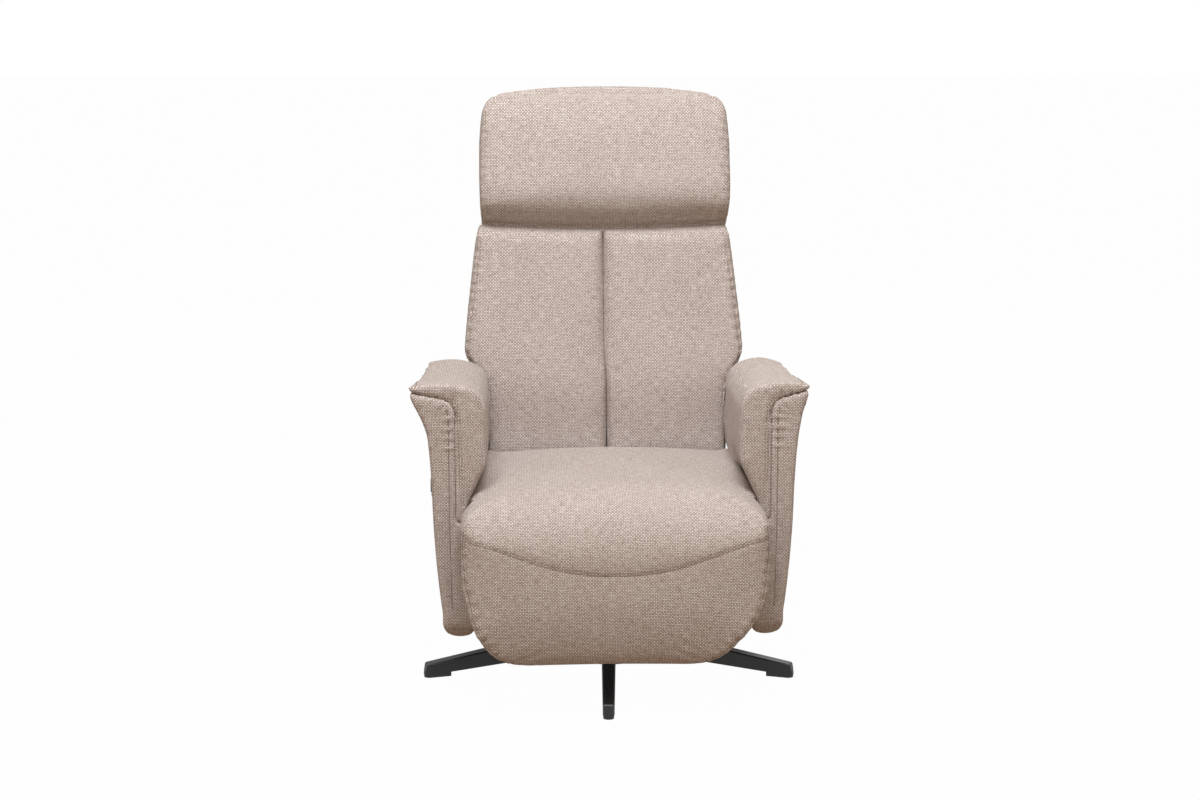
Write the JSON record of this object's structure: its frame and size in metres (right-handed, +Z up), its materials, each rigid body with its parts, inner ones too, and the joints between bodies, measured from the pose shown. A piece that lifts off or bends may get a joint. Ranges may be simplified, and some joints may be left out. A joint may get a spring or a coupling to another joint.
{
  "type": "power swivel recliner",
  "caption": "Upholstered power recliner with tilting headrest, flared arms and fold-out footrest, turning on a low five-blade swivel base.",
  "frame": {"origin": "on the floor, on the swivel axis, which is at the middle of the object's box", "axes": "+Z up, the sitter faces -Y, +X to the sitter's left"},
  "size_m": [0.724, 0.7937, 1.1],
  "materials": {
    "upholstery": "coarse basket weave, matte",
    "black_steel": "satin black powder coat",
    "frame_steel": "dark grey powder coat",
    "zinc_steel": "zinc plated",
    "black_plastic": "fine matte grain",
    "button_plastic": "satin",
    "plywood": "bare birch plywood"
  },
  "bodies": {
    "base": {"base_glides": "black_plastic", "base_hub": "black_steel", "base_leg_1": "black_steel", "base_leg_2": "black_steel", "base_leg_3": "black_steel", "base_leg_4": "black_steel", "base_leg_5": "black_steel", "leg_bolts": "zinc_steel", "swivel_column": "frame_steel", "thrust_washer": "black_plastic"},
    "footrest": {"footrest_pad": "upholstery", "footrest_board": "plywood", "footrest_arms": "frame_steel", "footrest_crank": "frame_steel"},
    "footrest_ram": {"footrest_rod": "zinc_steel"},
    "back_ram": {"back_rod": "zinc_steel"},
    "backrest": {"back_uprights": "frame_steel", "back_cross_tubes": "frame_steel", "back_springs": "zinc_steel", "back_cushion_left": "upholstery", "back_cushion_right": "upholstery", "back_rear_cover": "upholstery", "back_crank": "frame_steel", "headrest_leaves_fixed": "zinc_steel"},
    "headrest": {"headrest_cushion": "upholstery", "headrest_rear_cover": "upholstery", "headrest_plate": "plywood", "headrest_leaves_moving": "zinc_steel"},
    "button_1": {"button_1": "button_plastic"},
    "button_2": {"button_2": "button_plastic"},
    "button_3": {"button_3": "button_plastic"},
    "button_4": {"button_4": "button_plastic"},
    "seat": {"actuator_feet": "frame_steel", "arm_fixings": "zinc_steel", "arm_pad_left": "upholstery", "arm_pad_right": "upholstery", "arm_panels": "plywood", "arm_slab_left": "upholstery", "arm_slab_right": "upholstery", "back_actuator_tube": "frame_steel", "back_gearbox": "black_plastic", "back_motor": "zinc_steel", "control_box": "black_plastic", "cradle_bars": "frame_steel", "cross_tubes": "frame_steel", "footrest_actuator_tube": "frame_steel", "footrest_brackets": "frame_steel", "footrest_gearbox": "black_plastic", "footrest_motor": "zinc_steel", "hinge_pins": "zinc_steel", "power_inlet": "black_plastic", "seat_cushion": "upholstery", "seat_fold": "upholstery", "seat_springs": "zinc_steel", "side_rails": "frame_steel", "switch_plate": "black_plastic", "swivel_bolts": "zinc_steel", "swivel_bush": "black_plastic", "swivel_housing": "frame_steel"}
  },
  "joints": [
    {"name": "swivel", "type": "hinge", "parent": "base", "child": "seat", "pos_m": [0, 0, 0.13], "axis": [0, 0, 1], "continuous": true},
    {"name": "recline", "type": "hinge", "parent": "seat", "child": "backrest", "pos_m": [0, 0.14, 0.32], "axis": [-1, 0, 0], "range_deg": [0, 35]},
    {"name": "headrest_tilt", "type": "hinge", "parent": "backrest", "child": "headrest", "pos_m": [0, 0.22593, 0.8301], "axis": [1, 0, 0], "range_deg": [0, 35]},
    {"name": "footrest_lift", "type": "hinge", "parent": "seat", "child": "footrest", "pos_m": [0, -0.345, 0.365], "axis": [-1, 0, 0], "range_deg": [0, 85], "deforming": ["seat_fold"]},
    {"name": "footrest_drive", "type": "slide", "parent": "seat", "child": "footrest_ram", "axis": [0, -1, 0], "range_m": [0, 0.1192]},
    {"name": "recline_drive", "type": "slide", "parent": "seat", "child": "back_ram", "axis": [0, -1, 0], "range_m": [0, 0.0556]},
    {"name": "press_1", "type": "slide", "parent": "seat", "child": "button_1", "axis": [1, 0, 0], "range_m": [0, 0.0015], "stiffness_N_per_m": 600},
    {"name": "press_2", "type": "slide", "parent": "seat", "child": "button_2", "axis": [1, 0, 0], "range_m": [0, 0.0015], "stiffness_N_per_m": 600},
    {"name": "press_3", "type": "slide", "parent": "seat", "child": "button_3", "axis": [1, 0, 0], "range_m": [0, 0.0015], "stiffness_N_per_m": 600},
    {"name": "press_4", "type": "slide", "parent": "seat", "child": "button_4", "axis": [1, 0, 0], "range_m": [0, 0.0015], "stiffness_N_per_m": 600}
  ],
  "couplings": [
    {"joint": "footrest_drive", "follows": "footrest_lift", "m_per_rad": 0.080297},
    {"joint": "recline_drive", "follows": "recline", "m_per_rad": 0.090843}
  ]
}
